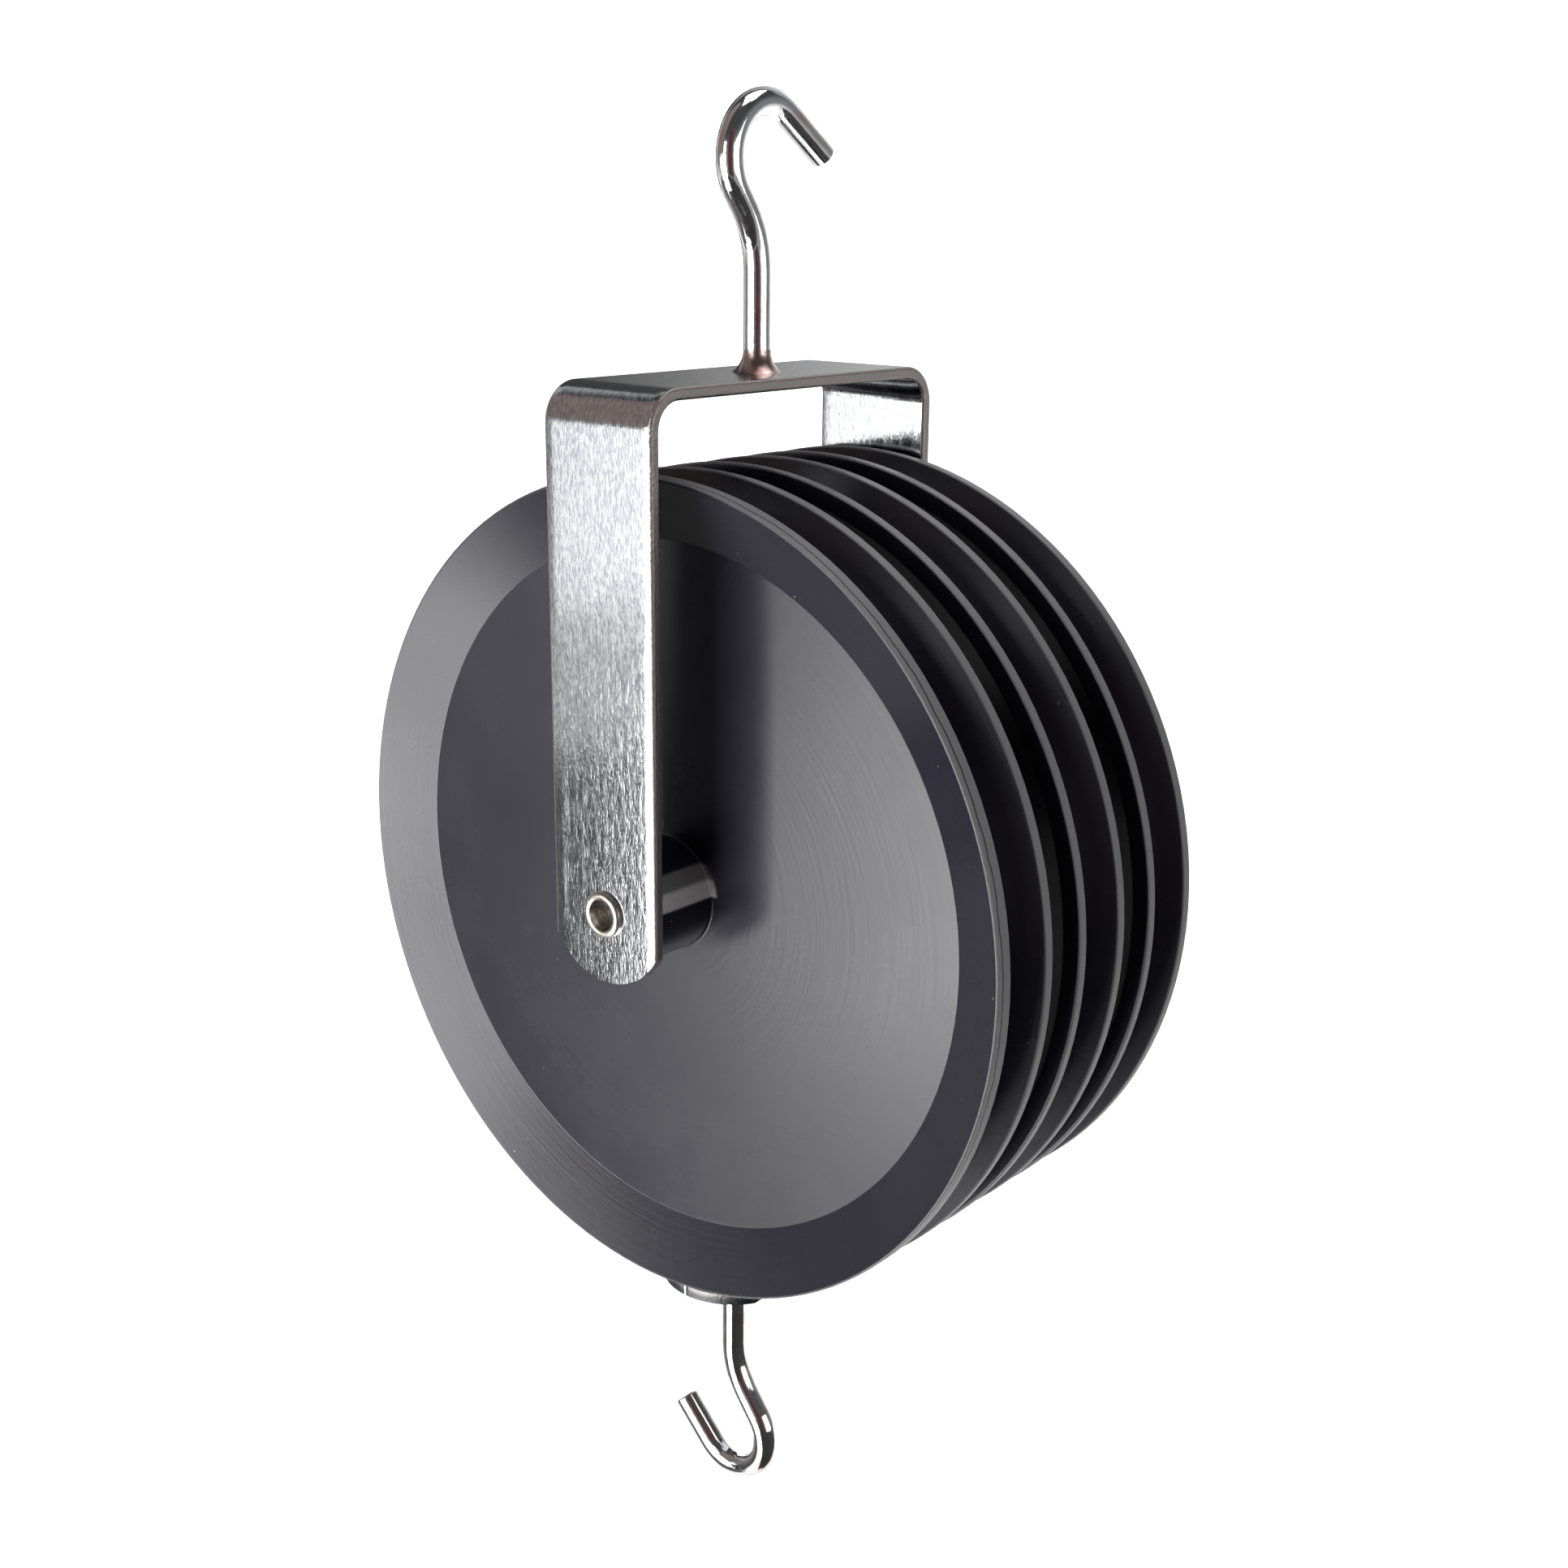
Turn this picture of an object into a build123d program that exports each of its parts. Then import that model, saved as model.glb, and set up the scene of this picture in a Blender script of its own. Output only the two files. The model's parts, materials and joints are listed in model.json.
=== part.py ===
from build123d import *
import os

# Triple parallel pulley block for classroom mechanics. Millimetres, +Z up.
# The origin is the seat of the upper hook, where the hanging block bears on its support.
# +Y runs along the axle from the front leg of the yoke to the rear leg.

# ---- strap stock, shared by the yoke and the hanger ----
strap_width = 8.2
strap_thickness = 0.7
strap_end_radius = 4.7
bend_radius = 1.6

# ---- yoke, measured from the block centre: on the axle, midway between the legs ----
yoke_inner_width = 23.7
yoke_top = 30.2
end_arc_rise = 0.5

# ---- hook wire and bends ----
wire_radius = 0.8
sway_radius = 5.9
upper_hook_y = 0.75
upper_sway_start = 35.9
upper_sway_angle = 36
upper_neck = 1.2
upper_bowl_radius = 3.1
upper_bowl_angle = 160
upper_tip = 4.2
lower_hook_y = -1.1
lower_sway_start = 33.5
lower_sway_angle = 37
lower_neck = 1.7
lower_bowl_radius = 2.8
lower_bowl_angle = 173
lower_tip = 3.4
tip_rounding = 0.18
braze_radius = 1.45
braze_height = 1.3

# ---- sheaves, each measured from the plane of its front flange ----
sheave_radius = 25.0
sheave_width = 4.75
rim_land = 0.69
groove_depth = 2.6
groove_floor = 0.8
groove_floor_dip = 0.25
rim_lip = 1.07
web_radius = 21.25
web_recess = 1.4
hub_radius = 3.45
hub_forward = 3.32
hub_recess = 0.72
front_bead = 0.56
mould_rounding = 0.12

# ---- axle and running fits ----
axle_radius = 1.2
axle_clearance = 0.05
rolled_rim_radius = 1.4
rolled_rim_height = 0.3
rolled_rim_crown = 0.06
rolled_rim_edge = 0.12
rivet_hole_radius = 0.95
rivet_wall_radius = 0.83
rivet_wall_start = 0.3
rivet_hole_depth = 1.1
rivet_pilot_radius = 0.62
rivet_pilot_depth = 2.6
rivet_point_depth = 2.9
rivet_head_radius = 2.2
rivet_head_edge = 0.2
rivet_head_height = 0.75
leg_play = 0.05
thrust_play = 0.03
hub_play = 0.05

# ---- hanger ----
hanger_drop = 28.0

# ---- edges ----
strap_rounding = 0.2

# ---- derived places ----
half_width = strap_width / 2
yoke_inner = yoke_inner_width / 2
yoke_outer = yoke_inner + strap_thickness
bore_radius = axle_radius + axle_clearance
lip_radius = sheave_radius - rim_lip
arm_rear = yoke_inner - leg_play
arm_front = arm_rear - strap_thickness
sheave_pitch = hub_forward + sheave_width - hub_recess + hub_play
rear_sheave_y = arm_front - thrust_play - sheave_width
sheave_starts = {
    "rear_sheave": rear_sheave_y,
    "middle_sheave": rear_sheave_y - sheave_pitch,
    "front_sheave": rear_sheave_y - 2 * sheave_pitch,
}


def hook_path(base, sway_start, sway_angle, neck, bowl_radius, bowl_angle, tip):
    """The centre line of a hook in its own plane: x across the opening, y along the shank."""
    with BuildLine(mode=Mode.PRIVATE) as path:
        shank = Line((0, base), (0, sway_start))
        sway = JernArc(start=shank @ 1, tangent=shank % 1, radius=sway_radius, arc_size=sway_angle)
        run = Line(sway @ 1, sway @ 1 + (sway % 1) * neck)
        bowl = JernArc(start=run @ 1, tangent=run % 1, radius=bowl_radius, arc_size=-bowl_angle)
        Line(bowl @ 1, bowl @ 1 + (bowl % 1) * tip)
    return path.line, bowl.arc_center


upper_wire, upper_bowl = hook_path(
    base=yoke_top - strap_thickness,
    sway_start=upper_sway_start,
    sway_angle=upper_sway_angle,
    neck=upper_neck,
    bowl_radius=upper_bowl_radius,
    bowl_angle=upper_bowl_angle,
    tip=upper_tip,
)
lower_wire, lower_bowl = hook_path(
    base=hanger_drop - strap_thickness,
    sway_start=lower_sway_start,
    sway_angle=lower_sway_angle,
    neck=lower_neck,
    bowl_radius=lower_bowl_radius,
    bowl_angle=lower_bowl_angle,
    tip=lower_tip,
)

# the hook seat is the inside of the upper bowl, straight above the bowl's centre
seat_y = upper_hook_y + upper_bowl.X
seat_z = upper_bowl.Y + upper_bowl_radius - wire_radius
centre = Vector(0, -seat_y, -seat_z)

# ---- planes through the block centre ----
front_view = Plane(origin=centre, x_dir=(1, 0, 0), z_dir=(0, -1, 0))
side_view = Plane(origin=centre, x_dir=(0, 1, 0), z_dir=(1, 0, 0))
plan_view = Plane(origin=centre, x_dir=(1, 0, 0), z_dir=(0, 0, 1))
axle_axis = Axis(centre, (0, 1, 0))

os.makedirs("parts", exist_ok=True)


def strap_outline(plane, end_centre, far_end):
    """A strap seen square on: one end is a round about end_centre, the other is cut off at far_end."""
    toward = 1 if far_end > end_centre else -1
    reach = (strap_end_radius**2 - half_width**2) ** 0.5
    corner = end_centre - toward * reach
    with BuildSketch(plane, mode=Mode.PRIVATE) as outline:
        with BuildLine():
            ThreePointArc(
                (-half_width, corner), (0, end_centre - toward * strap_end_radius), (half_width, corner)
            )
            Polyline(
                (half_width, corner),
                (half_width, far_end),
                (-half_width, far_end),
                (-half_width, corner),
            )
        make_face()
    return outline.sketch


def strap_edges(strap):
    """The long edges of a bent strap, which bound its two side faces."""
    sides = strap.faces().filter_by(Axis.X).group_by(Axis.X)
    return sides[0].edges() + sides[-1].edges()


# ---- yoke: one strap bent to an inverted U, both leg ends rounded ----
with BuildPart() as yoke:
    with BuildSketch(side_view):
        with Locations((0, yoke_top / 2 - strap_end_radius)):
            Rectangle(2 * yoke_outer, yoke_top + 2 * strap_end_radius)
    extrude(amount=half_width, both=True)
    upper_corners = yoke.edges().filter_by(Axis.X).group_by(Axis.Z)[-1]
    fillet(upper_corners, bend_radius + strap_thickness)
    with BuildSketch(side_view):
        with Locations((0, yoke_top / 2 - strap_end_radius - strap_thickness)):
            Rectangle(2 * yoke_inner, yoke_top + 2 * strap_end_radius)
    extrude(amount=half_width + 1, both=True, mode=Mode.SUBTRACT)
    inner_corners = yoke.edges().filter_by(Axis.X).group_by(Axis.Z)[-2]
    fillet(inner_corners, bend_radius)
    leg_outline = strap_outline(front_view, end_arc_rise, yoke_top)
    extrude(leg_outline, amount=yoke_outer + 1, both=True, mode=Mode.INTERSECT)
    fillet(strap_edges(yoke), strap_rounding)
    with BuildSketch(front_view):
        Circle(axle_radius)
    extrude(amount=yoke_outer + 1, both=True, mode=Mode.SUBTRACT)
    with BuildSketch(plan_view):
        with Locations((0, upper_hook_y)):
            Circle(wire_radius)
    extrude(amount=yoke_top + 1, mode=Mode.SUBTRACT)
yoke.part.label = "yoke"
export_step(yoke.part, "parts/yoke.step")

# ---- hanger: an L of the same strap, behind the rear sheave and forward under all three ----
with BuildPart() as hanger:
    with BuildSketch(side_view):
        with Locations((arm_rear - (arm_rear + sheave_radius) / 2, (strap_end_radius - hanger_drop) / 2)):
            Rectangle(arm_rear + sheave_radius, hanger_drop + strap_end_radius)
    extrude(amount=half_width, both=True)
    outer_corner = hanger.edges().filter_by(Axis.X).group_by(Axis.Z)[0].sort_by(Axis.Y)[-1]
    fillet(outer_corner, bend_radius + strap_thickness)
    with BuildSketch(side_view):
        with Locations((arm_front - sheave_radius, sheave_radius + strap_thickness - hanger_drop)):
            Rectangle(2 * sheave_radius, 2 * sheave_radius)
    extrude(amount=half_width + 1, both=True, mode=Mode.SUBTRACT)
    inner_corner = hanger.edges().filter_by(Axis.X).group_by(Axis.Z)[1].sort_by(Axis.Y)[-1]
    fillet(inner_corner, bend_radius)
    arm_outline = strap_outline(front_view, -end_arc_rise, -hanger_drop)
    extrude(arm_outline, amount=2 * sheave_radius, both=True, mode=Mode.INTERSECT)
    foot_outline = strap_outline(plan_view, lower_hook_y, arm_rear)
    extrude(foot_outline, amount=2 * sheave_radius, both=True, mode=Mode.INTERSECT)
    fillet(strap_edges(hanger), strap_rounding)
    with BuildSketch(front_view):
        Circle(bore_radius)
    extrude(amount=2 * sheave_radius, both=True, mode=Mode.SUBTRACT)
    with BuildSketch(plan_view):
        with Locations((0, lower_hook_y)):
            Circle(wire_radius)
    extrude(amount=-2 * hanger_drop, mode=Mode.SUBTRACT)
hanger.part.label = "hanger"
export_step(hanger.part, "parts/hanger.step")


def wire_section(centre_line):
    """The round section of the wire, square to the start of its centre line."""
    with BuildSketch(Plane(origin=centre_line @ 0, z_dir=centre_line % 0), mode=Mode.PRIVATE) as section:
        Circle(wire_radius)
    return section.sketch


# ---- upper hook: opens to the rear, in the plane of the axle ----
upper_hook_plane = Plane(origin=centre + Vector(0, upper_hook_y, 0), x_dir=(0, 1, 0), z_dir=(1, 0, 0))
with BuildPart() as upper_hook:
    centre_line = upper_hook_plane.from_local_coords(upper_wire)
    sweep(wire_section(centre_line), path=centre_line)
    tip_edge = upper_hook.edges().filter_by(GeomType.CIRCLE).sort_by(Axis.Y)[-1]
    fillet(tip_edge, tip_rounding)
upper_hook.part.label = "upper_hook"
export_step(upper_hook.part, "parts/upper_hook.step")

# ---- lower hook: opens to the left, across the axle ----
lower_hook_plane = Plane(origin=centre + Vector(0, lower_hook_y, 0), x_dir=(-1, 0, 0), z_dir=(0, -1, 0))
with BuildPart() as lower_hook:
    centre_line = lower_hook_plane.from_local_coords(lower_wire)
    sweep(wire_section(centre_line), path=centre_line)
    tip_edge = lower_hook.edges().filter_by(GeomType.CIRCLE).sort_by(Axis.X)[0]
    fillet(tip_edge, tip_rounding)
lower_hook.part.label = "lower_hook"
export_step(lower_hook.part, "parts/lower_hook.step")


def braze_section(hook_y, face_z, outward):
    """Half section of the concave collar of braze round a shank, standing outward from a strap face."""
    profile_plane = Plane(origin=centre + Vector(0, hook_y, face_z), x_dir=(1, 0, 0), z_dir=(0, -outward, 0))
    with BuildSketch(profile_plane, mode=Mode.PRIVATE) as section:
        with BuildLine():
            TangentArc((wire_radius, braze_height), (braze_radius, 0), tangent=(0, -1))
            Polyline((braze_radius, 0), (wire_radius, 0), (wire_radius, braze_height))
        make_face()
    return section.sketch, Axis(profile_plane.origin, (0, 0, 1))


with BuildPart() as upper_hook_braze:
    section, shank_axis = braze_section(upper_hook_y, yoke_top, 1)
    revolve(section, axis=shank_axis)
upper_hook_braze.part.label = "upper_hook_braze"
export_step(upper_hook_braze.part, "parts/upper_hook_braze.step")

with BuildPart() as lower_hook_braze:
    section, shank_axis = braze_section(lower_hook_y, -hanger_drop, -1)
    revolve(section, axis=shank_axis)
lower_hook_braze.part.label = "lower_hook_braze"
export_step(lower_hook_braze.part, "parts/lower_hook_braze.step")

# ---- axle: a semi-tubular rivet, headed at the rear and rolled over a stepped hole in front ----
with BuildPart() as axle_rivet:
    front_end = -yoke_outer - rolled_rim_height
    with BuildSketch(side_view):
        with BuildLine():
            Polyline(
                (front_end + rivet_point_depth, 0),
                (front_end + rivet_pilot_depth, rivet_pilot_radius),
                (front_end + rivet_hole_depth, rivet_pilot_radius),
                (front_end + rivet_hole_depth, rivet_wall_radius),
                (front_end + rivet_wall_start, rivet_wall_radius),
                (front_end, rivet_hole_radius),
            )
            ThreePointArc(
                (front_end, rivet_hole_radius),
                (front_end - rolled_rim_crown, (rivet_hole_radius + rolled_rim_radius) / 2),
                (front_end + rolled_rim_edge, rolled_rim_radius),
            )
            Polyline(
                (front_end + rolled_rim_edge, rolled_rim_radius),
                (-yoke_outer, rolled_rim_radius),
                (-yoke_outer, axle_radius),
                (yoke_outer, axle_radius),
                (yoke_outer, rivet_head_radius),
                (yoke_outer + rivet_head_edge, rivet_head_radius),
            )
            TangentArc(
                (yoke_outer + rivet_head_height, 0),
                (yoke_outer + rivet_head_edge, rivet_head_radius),
                tangent=(0, 1),
            )
            Line((yoke_outer + rivet_head_height, 0), (front_end + rivet_point_depth, 0))
        make_face()
    revolve(axis=axle_axis)
axle_rivet.part.label = "axle_rivet"
export_step(axle_rivet.part, "parts/axle_rivet.step")


def sheave_profile(start, rim_face):
    """Half section of a sheave: x along the axle, y outward. The rim_face points follow the front cone."""
    end = start + sheave_width
    hub_front = start - hub_forward
    hub_rear = end - hub_recess
    web_front = start + web_recess
    web_rear = end - web_recess
    floor_radius = sheave_radius - groove_depth
    groove_front = start + rim_land
    groove_rear = end - rim_land
    floor_middle = start + sheave_width / 2
    floor_front = floor_middle - groove_floor / 2
    floor_rear = floor_middle + groove_floor / 2
    with BuildSketch(side_view, mode=Mode.PRIVATE) as profile:
        with BuildLine():
            Polyline(
                (hub_front, bore_radius),
                (hub_front, hub_radius),
                (web_front, hub_radius),
                (web_front, web_radius),
                *rim_face,
                (groove_front, sheave_radius),
                (floor_front, floor_radius),
            )
            ThreePointArc(
                (floor_front, floor_radius),
                (floor_middle, floor_radius - groove_floor_dip),
                (floor_rear, floor_radius),
            )
            Polyline(
                (floor_rear, floor_radius),
                (groove_rear, sheave_radius),
                (end, sheave_radius),
                (end, lip_radius),
                (web_rear, web_radius),
                (web_rear, hub_radius),
                (hub_rear, hub_radius),
                (hub_rear, bore_radius),
                (hub_front, bore_radius),
            )
        make_face()
        mould_corners = [
            (hub_front, hub_radius),
            (web_front, hub_radius),
            (web_front, web_radius),
            rim_face[-1],
            (groove_front, sheave_radius),
            (groove_rear, sheave_radius),
            (end, sheave_radius),
            (web_rear, web_radius),
        ]
        for corner in mould_corners:
            fillet(profile.vertices().sort_by_distance(corner)[0], mould_rounding)
    return profile.sketch


# ---- sheaves: the hub stands forward as the spacer, and the front sheave's cone runs out to its rim ----
for name, start in sheave_starts.items():
    flat_lip = [(start, lip_radius), (start, sheave_radius)]
    pointed_lip = [(start - front_bead, sheave_radius)]
    with BuildPart() as sheave:
        revolve(sheave_profile(start, pointed_lip if name == "front_sheave" else flat_lip), axis=axle_axis)
    sheave.part.label = name
    export_step(sheave.part, f"parts/{name}.step")
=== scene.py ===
import json
import math

import bpy
from mathutils import Matrix, Vector


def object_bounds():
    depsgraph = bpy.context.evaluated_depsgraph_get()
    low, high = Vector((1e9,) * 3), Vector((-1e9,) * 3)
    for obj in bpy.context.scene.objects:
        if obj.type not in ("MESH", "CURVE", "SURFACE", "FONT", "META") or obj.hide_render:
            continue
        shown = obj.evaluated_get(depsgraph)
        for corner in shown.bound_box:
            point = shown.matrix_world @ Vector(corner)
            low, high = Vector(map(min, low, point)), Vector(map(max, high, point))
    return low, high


# Triple parallel pulley block: two plated straps, two brazed wire hooks, a rivet and three black sheaves.
# Metres, in the row frame: +Z up, +Y along the axle, and the origin at the seat of the upper hook.
# Patterns are laid out in millimetres from the axle.

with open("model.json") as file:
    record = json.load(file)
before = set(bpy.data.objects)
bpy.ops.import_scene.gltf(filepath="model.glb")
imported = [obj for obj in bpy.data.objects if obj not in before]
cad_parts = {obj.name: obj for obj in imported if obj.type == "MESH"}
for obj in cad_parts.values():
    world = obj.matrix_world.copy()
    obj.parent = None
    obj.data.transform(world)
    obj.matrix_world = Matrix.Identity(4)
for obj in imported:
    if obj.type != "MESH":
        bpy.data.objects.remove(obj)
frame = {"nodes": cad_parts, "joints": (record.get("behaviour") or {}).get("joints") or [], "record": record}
cad_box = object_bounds()
MM = 0.001

axle = Vector(next(j["pos_m"] for j in frame["joints"] if j["name"] == "hanger_swing"))
nodes = frame["nodes"]
RIM_START = 24.8


def front_of_rim(sheave):
    """The place of a sheave's front rim edge along the axle, in millimetres from the axle's middle."""
    points = [vertex.co for vertex in sheave.data.vertices]
    rim = [point for point in points if math.hypot(point.x - axle.x, point.z - axle.z) > RIM_START * MM]
    return (min(point.y for point in rim) - axle.y) / MM


front_rim = front_of_rim(nodes["front_sheave"])


# ---- node helpers ----
COLOUR_A, COLOUR_B, COLOUR_OUT = 6, 7, 2  # the colour sockets of a Mix node


class Graph:
    """A material's node tree, with short calls for the nodes that are used again and again."""

    def __init__(self, name):
        self.material = bpy.data.materials.new(name)
        self.material.use_nodes = True
        self.tree = self.material.node_tree
        self.tree.nodes.clear()
        self.output = self.tree.nodes.new("ShaderNodeOutputMaterial")
        self.shader = self.tree.nodes.new("ShaderNodeBsdfPrincipled")
        self.link(self.shader.outputs[0], self.output.inputs["Surface"])

    def link(self, source, target):
        self.tree.links.new(source, target)

    def put(self, socket, value):
        """Sets a socket to a number or colour, or links it to another node's output."""
        if isinstance(value, bpy.types.NodeSocket):
            self.link(value, socket)
        else:
            socket.default_value = value

    def place(self, centre=(0, 0, 0), scale=(1, 1, 1)):
        """The piece's own coordinates in millimetres from centre, each axis multiplied by scale."""
        coordinates = self.tree.nodes.new("ShaderNodeTexCoord")
        mapping = self.tree.nodes.new("ShaderNodeMapping")
        mapping.vector_type = "POINT"
        mapping.inputs["Location"].default_value = [-c / MM * s for c, s in zip(centre, scale)]
        mapping.inputs["Scale"].default_value = [s / MM for s in scale]
        self.link(coordinates.outputs["Object"], mapping.inputs["Vector"])
        return mapping.outputs["Vector"]

    def normal(self):
        """The direction that the piece's surface faces, in the piece's own axes."""
        return self.tree.nodes.new("ShaderNodeTexCoord").outputs["Normal"]

    def noise(self, vector, scale=1.0, detail=4.0, rough=0.55):
        node = self.tree.nodes.new("ShaderNodeTexNoise")
        node.inputs["Scale"].default_value = scale
        node.inputs["Detail"].default_value = detail
        node.inputs["Roughness"].default_value = rough
        self.link(vector, node.inputs["Vector"])
        return node.outputs["Fac"]

    def math(self, operation, a, b=0.0):
        node = self.tree.nodes.new("ShaderNodeMath")
        node.operation = operation
        for socket, value in zip(node.inputs, (a, b)):
            self.put(socket, value)
        return node.outputs[0]

    def size(self, value):
        return self.math("ABSOLUTE", value)

    def times(self, a, b):
        return self.math("MULTIPLY", a, b)

    def radius(self, x, z):
        """The distance from the axle."""
        return self.math("SQRT", self.math("ADD", self.times(x, x), self.times(z, z)))

    def split(self, vector):
        node = self.tree.nodes.new("ShaderNodeSeparateXYZ")
        self.link(vector, node.inputs[0])
        return node.outputs

    def join(self, x, y, z):
        node = self.tree.nodes.new("ShaderNodeCombineXYZ")
        for socket, value in zip(node.inputs, (x, y, z)):
            self.put(socket, value)
        return node.outputs[0]

    def span(self, value, low, high, to_low=0.0, to_high=1.0, smooth=True):
        """Value carried from the range low to high into the range to_low to to_high, and held at its ends."""
        node = self.tree.nodes.new("ShaderNodeMapRange")
        node.interpolation_type = "SMOOTHSTEP" if smooth else "LINEAR"
        node.clamp = True
        for name, number in (("From Min", low), ("From Max", high), ("To Min", to_low), ("To Max", to_high)):
            self.put(node.inputs[name], number)
        self.put(node.inputs["Value"], value)
        return node.outputs["Result"]

    def mix(self, factor, a, b, kind="MIX"):
        node = self.tree.nodes.new("ShaderNodeMix")
        node.data_type = "RGBA"
        node.blend_type = kind
        self.put(node.inputs["Factor"], factor)
        self.put(node.inputs[COLOUR_A], a)
        self.put(node.inputs[COLOUR_B], b)
        return node.outputs[COLOUR_OUT]

    def bump(self, height, strength, distance, normal=None):
        node = self.tree.nodes.new("ShaderNodeBump")
        node.inputs["Strength"].default_value = strength
        node.inputs["Distance"].default_value = distance
        self.link(height, node.inputs["Height"])
        if normal is not None:
            self.link(normal, node.inputs["Normal"])
        return node.outputs["Normal"]

    def surface(self, **values):
        """Sets the shader's inputs, where base_color is Base Color and so on, and returns the material."""
        for name, value in values.items():
            self.put(self.shader.inputs[name.replace("_", " ").title().replace("Ior", "IOR")], value)
        return self.material


def grey(value):
    return (value, value, value, 1)


# ---- materials ----
def strap_metal(name):
    """Bright plate over rolled strip: fine grain along the strap, rolled-over edges and sheared sides."""
    half_width, rollover_start = 4.1, 3.3
    side_start, side_full = 3.97, 4.06
    facing_start, facing_full = 0.01, 0.04
    foot_start, foot_end = -27.0, -27.8
    dull, bright = (0.52, 0.54, 0.58, 1), (0.90, 0.91, 0.92, 1)
    cut, cut_foot = (0.30, 0.27, 0.26, 1), (0.06, 0.065, 0.065, 1)
    g = Graph(name)
    x, y, z = g.split(g.place(axle))
    across = g.size(x)
    grain = g.noise(g.place(axle, (9.0, 2.6, 2.6)), detail=4, rough=0.6)
    patch = g.noise(g.place(axle, (2.6, 0.8, 0.8)), detail=3, rough=0.6)
    nicks = g.noise(g.place(axle, (2.0, 5.0, 5.0)), detail=4, rough=0.7)
    streak = g.noise(g.place(axle, (3.0, 0.12, 0.12)), detail=3)
    sideways = g.size(g.split(g.normal())[0])
    facing_out = g.span(sideways, facing_start, facing_full)
    side = g.math("MAXIMUM", g.span(across, side_start, side_full), facing_out)
    sheared = g.mix(g.span(z, foot_start, foot_end), cut, cut_foot)
    tone = g.mix(g.span(grain, 0.34, 0.66), dull, bright)
    tone = g.mix(side, tone, sheared)
    roughness = g.math("ADD", g.span(patch, 0.3, 0.7, 0.08, 0.14), g.span(streak, 0.45, 0.7, 0.0, 0.04))
    roughness = g.math("MAXIMUM", roughness, g.times(side, 0.34))
    rollover = g.span(across, rollover_start, half_width, smooth=False)
    normal = g.bump(g.times(g.times(rollover, rollover), -1.0), 1.0, 0.055 * MM)
    normal = g.bump(patch, 1.0, 0.009 * MM, normal)
    normal = g.bump(grain, 1.0, 0.006 * MM, normal)
    normal = g.bump(g.times(nicks, side), 1.0, 0.06 * MM, normal)
    return g.surface(base_color=tone, metallic=1.0, roughness=roughness, normal=normal)


def wire_metal(name):
    """Polished plate on drawn wire, with a slight ripple and a faint warm cast in places."""
    clean, warm = (0.86, 0.86, 0.87, 1), (0.74, 0.64, 0.60, 1)
    g = Graph(name)
    ripple = g.noise(g.place(axle), scale=0.5, detail=3)
    pits = g.noise(g.place(axle), scale=4.0, detail=3)
    tone = g.mix(g.span(ripple, 0.45, 0.75), clean, warm)
    roughness = g.span(pits, 0.35, 0.75, 0.05, 0.16)
    normal = g.bump(ripple, 0.3, 0.05 * MM)
    normal = g.bump(pits, 0.15, 0.01 * MM, normal)
    return g.surface(base_color=tone, metallic=1.0, roughness=roughness, normal=normal)


def braze_metal(name):
    """Plated braze: smooth, darker and redder than the wire."""
    pale, red = (0.52, 0.44, 0.42, 1), (0.30, 0.17, 0.15, 1)
    g = Graph(name)
    flow = g.noise(g.place(axle), scale=1.1, detail=4)
    tone = g.mix(g.span(flow, 0.35, 0.7), pale, red)
    roughness = g.span(flow, 0.3, 0.7, 0.22, 0.34)
    normal = g.bump(flow, 0.4, 0.06 * MM)
    return g.surface(base_color=tone, metallic=1.0, roughness=roughness, normal=normal)


def rivet_metal(name):
    """Warm nickel plate, satin, with rings from the tool that rolled it."""
    nickel, tarnished = (0.48, 0.46, 0.43, 1), (0.38, 0.35, 0.31, 1)
    g = Graph(name)
    x, y, z = g.split(g.place(axle))
    rings = g.noise(g.join(g.radius(x, z), 0.0, 0.0), scale=9.0, detail=2)
    spots = g.noise(g.place(axle), scale=3.0, detail=4)
    tone = g.mix(g.span(spots, 0.35, 0.7), nickel, tarnished)
    roughness = g.span(spots, 0.3, 0.7, 0.26, 0.40)
    normal = g.bump(rings, 0.3, 0.03 * MM)
    normal = g.bump(spots, 0.2, 0.03 * MM, normal)
    return g.surface(base_color=tone, metallic=1.0, roughness=roughness, normal=normal)


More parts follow.
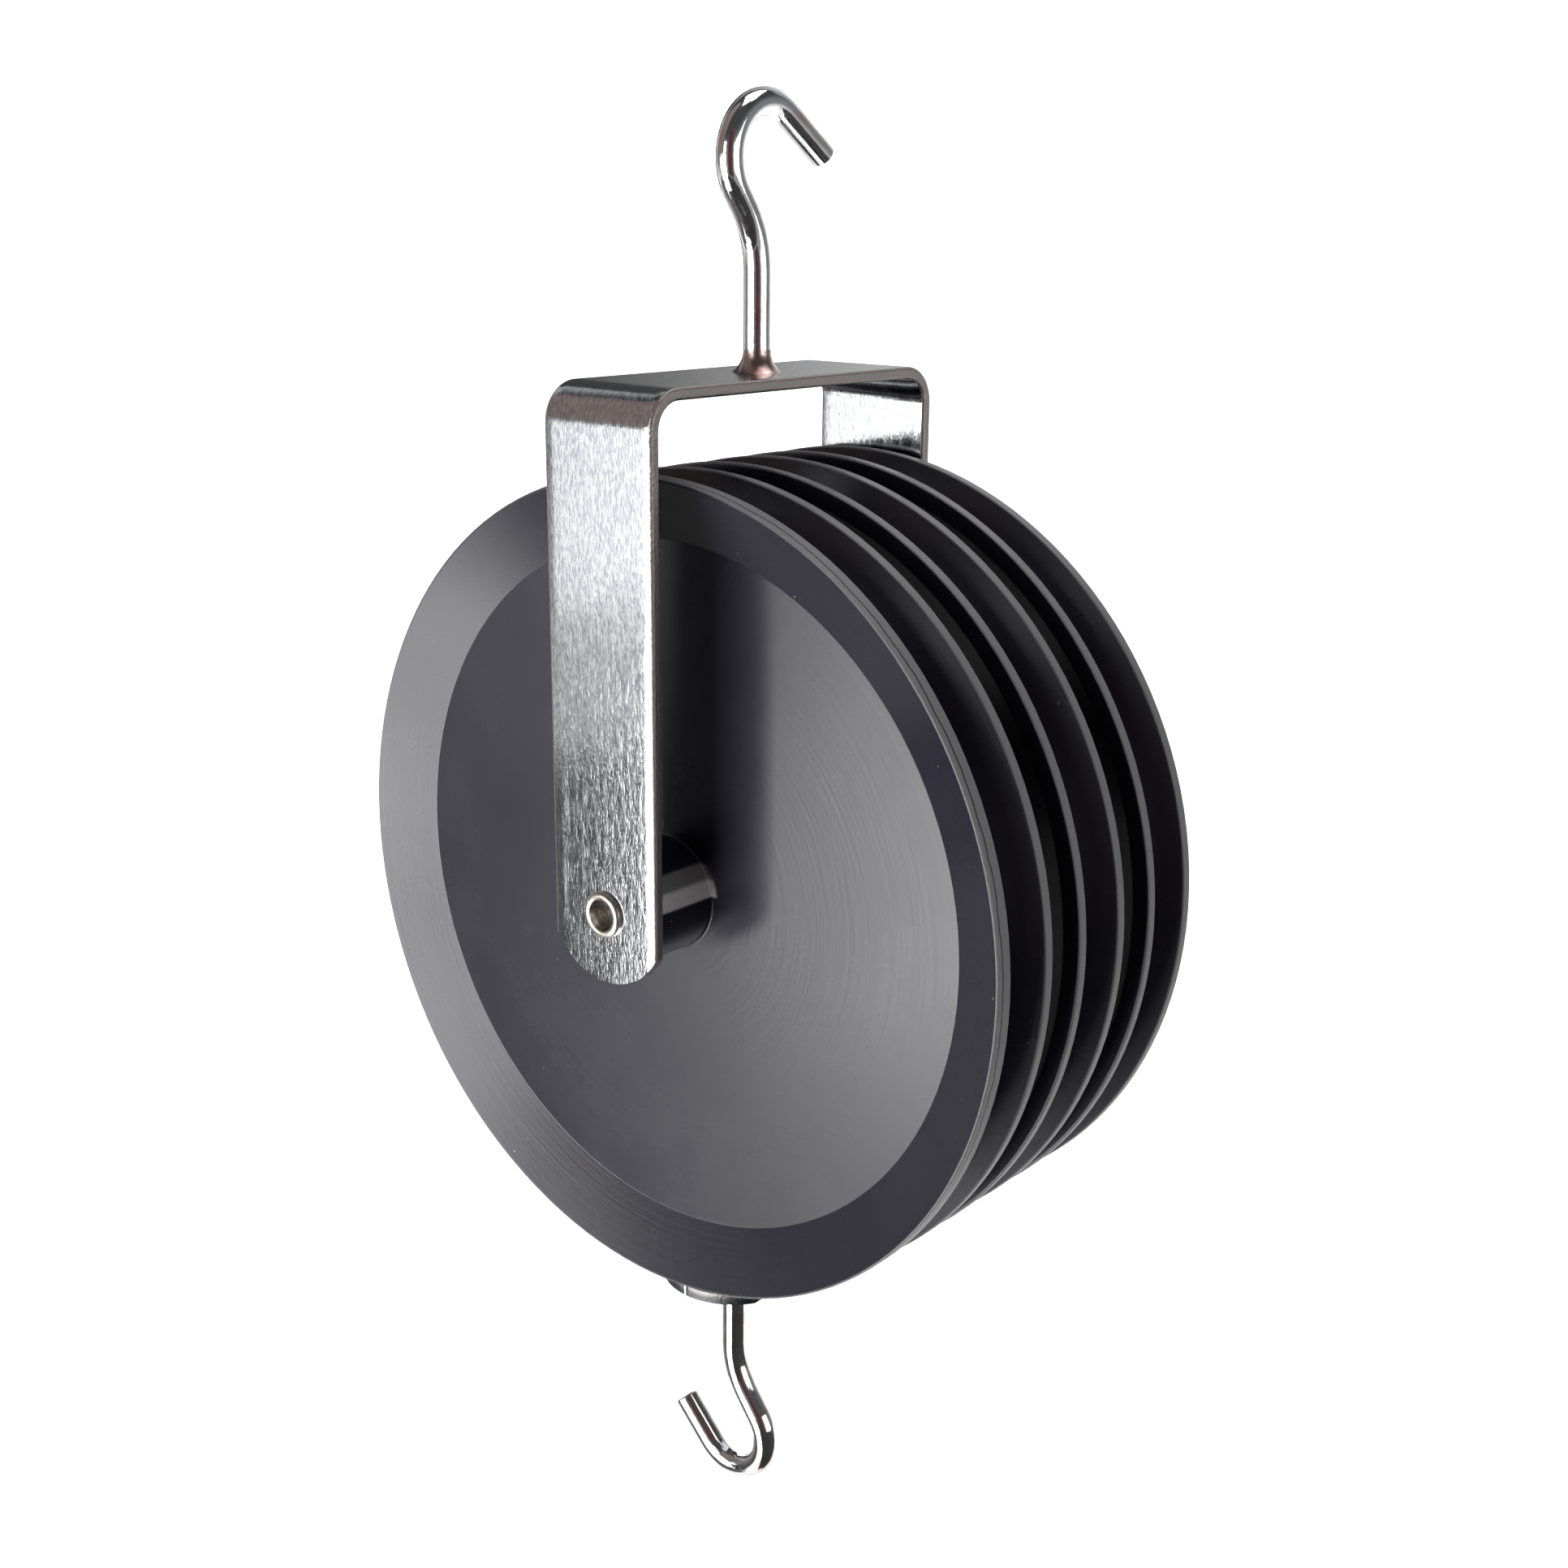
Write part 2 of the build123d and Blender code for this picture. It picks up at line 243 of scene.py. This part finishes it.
def sheave_plastic(name):
    """Black moulded plastic: satin, with worn lands, a painted highlight on the front of the hub and a
    moulding notch whose dark line is painted shade.
    """
    land_start, land_full = 24.88, 24.96
    hub_edge, hub_full, hub_end, hub_soft = 4.0, 3.6, 2.4, 0.2
    highlight_height, highlight_half, highlight_soft = 1.4, 0.85, 0.2
    faint_start, faint_full, faint = 1.3, 1.6, 0.3
    dust_start, dust_full = 0.80, 0.84
    notch_depth, notch_half, notch_soft, notch_wander = 0.42, 0.03, 0.05, 0.07
    black, worn, hub_highlight_tone = (0.013, 0.012, 0.019, 1), (0.14, 0.14, 0.145, 1), (0.60, 0.60, 0.58, 1)
    dust_tone, painted_notch_shade = (0.22, 0.22, 0.21, 1), (0.004, 0.004, 0.006, 1)
    g = Graph(name)
    place = g.place(axle)
    x, y, z = g.split(place)
    radius = g.radius(x, z)
    turn = g.math("ARCTAN2", z, x)
    lathe = g.join(g.times(radius, 3.0), g.times(y, 9.0), g.times(turn, 1.5))
    scratches = g.noise(lathe, detail=6, rough=0.7)
    haze = g.noise(place, scale=0.10, detail=3)
    grit = g.noise(place, scale=7.0, detail=3, rough=0.7)
    dust = g.noise(place, scale=3.1, detail=1)

    land = g.span(radius, land_start, land_full)
    tone = g.mix(land, black, worn)
    # Painted highlight: a pale band at a fixed height on the hub's front part, fainter higher up, stands in
    # for light falling on the hub from the right.
    hub_front = g.span(y, front_rim + hub_end + hub_soft, front_rim + hub_end)
    hub = g.times(g.span(radius, hub_edge, hub_full), hub_front)
    off_middle = g.size(g.math("SUBTRACT", z, highlight_height))
    highlight_band = g.span(off_middle, highlight_half + highlight_soft, highlight_half)
    painted_hub_highlight = g.times(highlight_band, g.span(z, faint_full, faint_start, faint, 1.0))
    tone = g.mix(g.times(hub, painted_hub_highlight), tone, hub_highlight_tone)
    tone = g.mix(g.span(dust, dust_start, dust_full), tone, dust_tone)
    roughness = g.math("ADD", g.span(haze, 0.3, 0.7, 0.25, 0.29), g.times(land, 0.16))

    around = g.noise(g.join(g.times(turn, 9.0), 0.0, 0.0), detail=4)
    wander = g.span(around, 0.3, 0.7, -notch_wander, notch_wander)
    ragged = g.math("ADD", g.math("SUBTRACT", y, front_rim), wander)
    from_line = g.size(g.math("SUBTRACT", ragged, notch_depth))
    # Painted shade: the notch line is painted darker than the plastic, as the shade in its groove; the bump
    # below cuts the groove itself.
    notch = g.times(g.span(from_line, notch_half + notch_soft, notch_half), land)
    tone = g.mix(notch, tone, painted_notch_shade)
    normal = g.bump(scratches, 0.25, 0.03 * MM)
    normal = g.bump(grit, 0.12, 0.01 * MM, normal)
    normal = g.bump(notch, 1.0, -0.05 * MM, normal)
    return g.surface(base_color=tone, roughness=roughness, normal=normal, ior=1.5)


FINISHES = {
    "plated_strap": strap_metal,
    "plated_wire": wire_metal,
    "braze": braze_metal,
    "rivet": rivet_metal,
    "sheave_plastic": sheave_plastic,
}
for row in frame["record"]["subparts"]:
    slot = row["material_slot"]
    finish = bpy.data.materials.get("finish_" + slot) or FINISHES[slot]("finish_" + slot)
    for material_slot in nodes[row["node"]].material_slots:
        material_slot.material = finish


# ---- studio ----
# Azimuths turn from the front, -Y, towards +X, and elevations are upward: degrees, seen from the axle.
CAMERA_AZIMUTH = 39.96
CAMERA_ELEVATION = 16.32
CAMERA_ROLL = 0.52
CAMERA_DISTANCE = 123.5 * MM
CAMERA_AIM = Vector((0.89, 2.5, 4.77)) * MM
PALE = 0.8
SWEEP_STEPS = 16
CARD_COLUMNS, CARD_ROWS = 16, 8


def direction(azimuth, elevation):
    """The unit vector that points at an azimuth and an elevation."""
    az, el = math.radians(azimuth), math.radians(elevation)
    return Vector((math.sin(az) * math.cos(el), -math.cos(az) * math.cos(el), math.sin(el)))


def add(name, data):
    """A new object in the scene."""
    thing = bpy.data.objects.new(name, data)
    bpy.context.scene.collection.objects.link(thing)
    return thing


def camera():
    """The photographer's place: seen from the front and right, a little above the axle."""
    away = direction(CAMERA_AZIMUTH, CAMERA_ELEVATION)
    data = bpy.data.cameras.new("camera")
    data.lens = 45.22
    data.sensor_width = 36.0
    data.clip_start = 0.005
    data.clip_end = 20.0
    eye = add("camera", data)
    roll = Matrix.Rotation(math.radians(CAMERA_ROLL), 3, "Z").to_quaternion()
    place = axle + CAMERA_AIM + away * CAMERA_DISTANCE
    eye.matrix_world = Matrix.LocRotScale(place, away.to_track_quat("Z", "Y") @ roll, None)
    bpy.context.scene.camera = eye


def floor():
    """A plain pale sweep: flat under the hanging block, and curved up to a wall far behind it."""
    drop, near, far, bend, top, reach = 0.22, -2.5, 0.7, 0.5, 2.0, 2.5
    low = cad_box[0][2] - drop
    outline = [(near, low)]
    for step in range(SWEEP_STEPS + 1):
        angle = math.pi / 2 * step / SWEEP_STEPS
        outline.append((far + bend * math.sin(angle), low + bend * (1 - math.cos(angle))))
    outline.append((far + bend, low + top))
    back = -direction(CAMERA_AZIMUTH, 0)
    side = back.cross(Vector((0, 0, 1)))
    rows = [back * run + Vector((0, 0, rise)) for run, rise in outline]
    points = [row + side * reach * end for row in rows for end in (-1, 1)]
    faces = [(2 * i, 2 * i + 1, 2 * i + 3, 2 * i + 2) for i in range(len(outline) - 1)]
    mesh = bpy.data.meshes.new("floor")
    mesh.from_pydata(points, [], faces)
    mesh.shade_smooth()
    sheet = add("floor", mesh)
    g = Graph("floor")
    g.surface(base_color=grey(PALE), roughness=0.95, emission_color=grey(1.0), emission_strength=0.15)
    mesh.materials.append(g.material)


def surround():
    """A dim room, evenly lit all round and darker overhead."""
    world = bpy.data.worlds.new("room")
    world.use_nodes = True
    tree = world.node_tree
    back = tree.nodes["Background"]
    place = tree.nodes.new("ShaderNodeTexCoord")
    split = tree.nodes.new("ShaderNodeSeparateXYZ")
    ramp = tree.nodes.new("ShaderNodeMapRange")
    ramp.interpolation_type = "SMOOTHSTEP"
    for name, value in (("From Min", 0.1), ("From Max", 0.6), ("To Min", 0.22), ("To Max", 0.06)):
        ramp.inputs[name].default_value = value
    tree.links.new(place.outputs["Generated"], split.inputs[0])
    tree.links.new(split.outputs["Z"], ramp.inputs["Value"])
    tree.links.new(ramp.outputs["Result"], back.inputs["Strength"])
    back.inputs["Color"].default_value = (0.95, 0.97, 1.0, 1.0)
    bpy.context.scene.world = world


def softbox(name, place, aim, width, height, radiance, spread=180, glossy=True):
    """A rectangular area light at place, facing aim, both in metres from the axle, unseen by the camera."""
    data = bpy.data.lights.new(name, "AREA")
    data.shape = "RECTANGLE"
    data.size = width
    data.size_y = height
    data.energy = radiance * math.pi * width * height
    data.spread = math.radians(spread)
    lamp = add(name, data)
    back = (place - aim).normalized()
    lamp.matrix_world = Matrix.LocRotScale(axle + place, back.to_track_quat("Z", "Y"), None)
    lamp.visible_camera = False
    lamp.visible_glossy = glossy


def panel(name, azimuths, elevations, radiance, distance=0.5):
    """A softbox that fills a range of azimuth and of elevation."""
    middle = direction(sum(azimuths) / 2, sum(elevations) / 2)
    width = 2 * distance * math.tan(math.radians(azimuths[1] - azimuths[0]) / 2)
    height = 2 * distance * math.tan(math.radians(elevations[1] - elevations[0]) / 2)
    softbox(name, middle * distance, Vector((0, 0, 0)), width, height, radiance)


def card(name, azimuths, elevations, distance, shades, tint=(1, 1, 1, 1)):
    """A matt card that the camera can't see, its shade changing evenly from one end azimuth to the other."""
    points, tones = [], []
    for row in range(CARD_ROWS + 1):
        elevation = elevations[0] + (elevations[1] - elevations[0]) * row / CARD_ROWS
        for column in range(CARD_COLUMNS + 1):
            part = column / CARD_COLUMNS
            azimuth = azimuths[0] + (azimuths[1] - azimuths[0]) * part
            points.append(axle + direction(azimuth, elevation) * distance)
            tones.append(shades[0] + (shades[1] - shades[0]) * part)
    faces = []
    for row in range(CARD_ROWS):
        for column in range(CARD_COLUMNS):
            corner = row * (CARD_COLUMNS + 1) + column
            faces.append((corner, corner + 1, corner + CARD_COLUMNS + 2, corner + CARD_COLUMNS + 1))
    mesh = bpy.data.meshes.new(name)
    mesh.from_pydata(points, [], faces)
    mesh.attributes.new("shade", "FLOAT", "POINT").data.foreach_set("value", tones)
    sheet = add(name, mesh)
    g = Graph(name)
    shade = g.tree.nodes.new("ShaderNodeAttribute")
    shade.attribute_name = "shade"
    g.surface(base_color=g.mix(1.0, shade.outputs["Color"], tint, "MULTIPLY"), roughness=0.9)
    mesh.materials.append(g.material)
    sheet.visible_camera = False


def windows():
    """A bright window in front of the block and a dimmer one to its right, as the block reflects them."""
    panel("window", (-36, 7), (-27, -11), 9.8)
    panel("window_middle", (-33, 7), (-11, 10), 8.5)
    panel("window_edge", (-48, -33), (-9, 6), 1.0)
    panel("window_foot", (-48, -37), (-13, -9), 0.15)
    panel("window_top", (-12, 7), (10, 27), 2.0)
    panel("window_right", (74, 120), (-9, 20), 2.2)
    panel("window_low", (-22, 8), (-56, -27), 5.0, distance=0.28)


def lamps():
    """One light over the block, and two that whiten the sweep behind it."""
    behind = -direction(CAMERA_AZIMUTH, 0)
    softbox("overhead", direction(150, 72) * 0.5, Vector((0, 0, 0)), 0.3, 0.3, 3.0)
    high, high_aim = behind * 0.25 + Vector((0, 0, 0.8)), behind * 1.1 + Vector((0, 0, -0.1))
    softbox("backdrop_high", high, high_aim, 1.8, 0.7, 4.2, spread=130, glossy=False)
    low = behind * 0.15 + Vector((0, 0, -0.25))
    softbox("backdrop_low", low, behind * 1.2, 1.2, 0.1, 2.6, spread=160)


def cards():
    """Matt cards that stand for the darker and warmer things which the metal and the plastic reflect."""
    card("left_card", (-125, -39), (-60, -13), 0.27, (0.6, 0.02))
    card("right_card", (12, 140), (-82, -14), 0.20, (0.04, 0.04))
    card("warm_card", (26, 62), (-14, 45), 0.24, (0.5, 0.9), (0.11, 0.04, 0.05, 1))
    card("brown_card", (-75, -14), (13, 85), 0.24, (0.9, 0.9), (0.27, 0.21, 0.19, 1))
    card("back_card", (198, 234), (12, 60), 0.10, (0.52, 0.03))
    card("dark_card", (234, 262), (8, 60), 0.10, (0.03, 0.03))


camera()
floor()
surround()
windows()
lamps()
cards()
bpy.context.scene.view_settings.view_transform = "Standard"
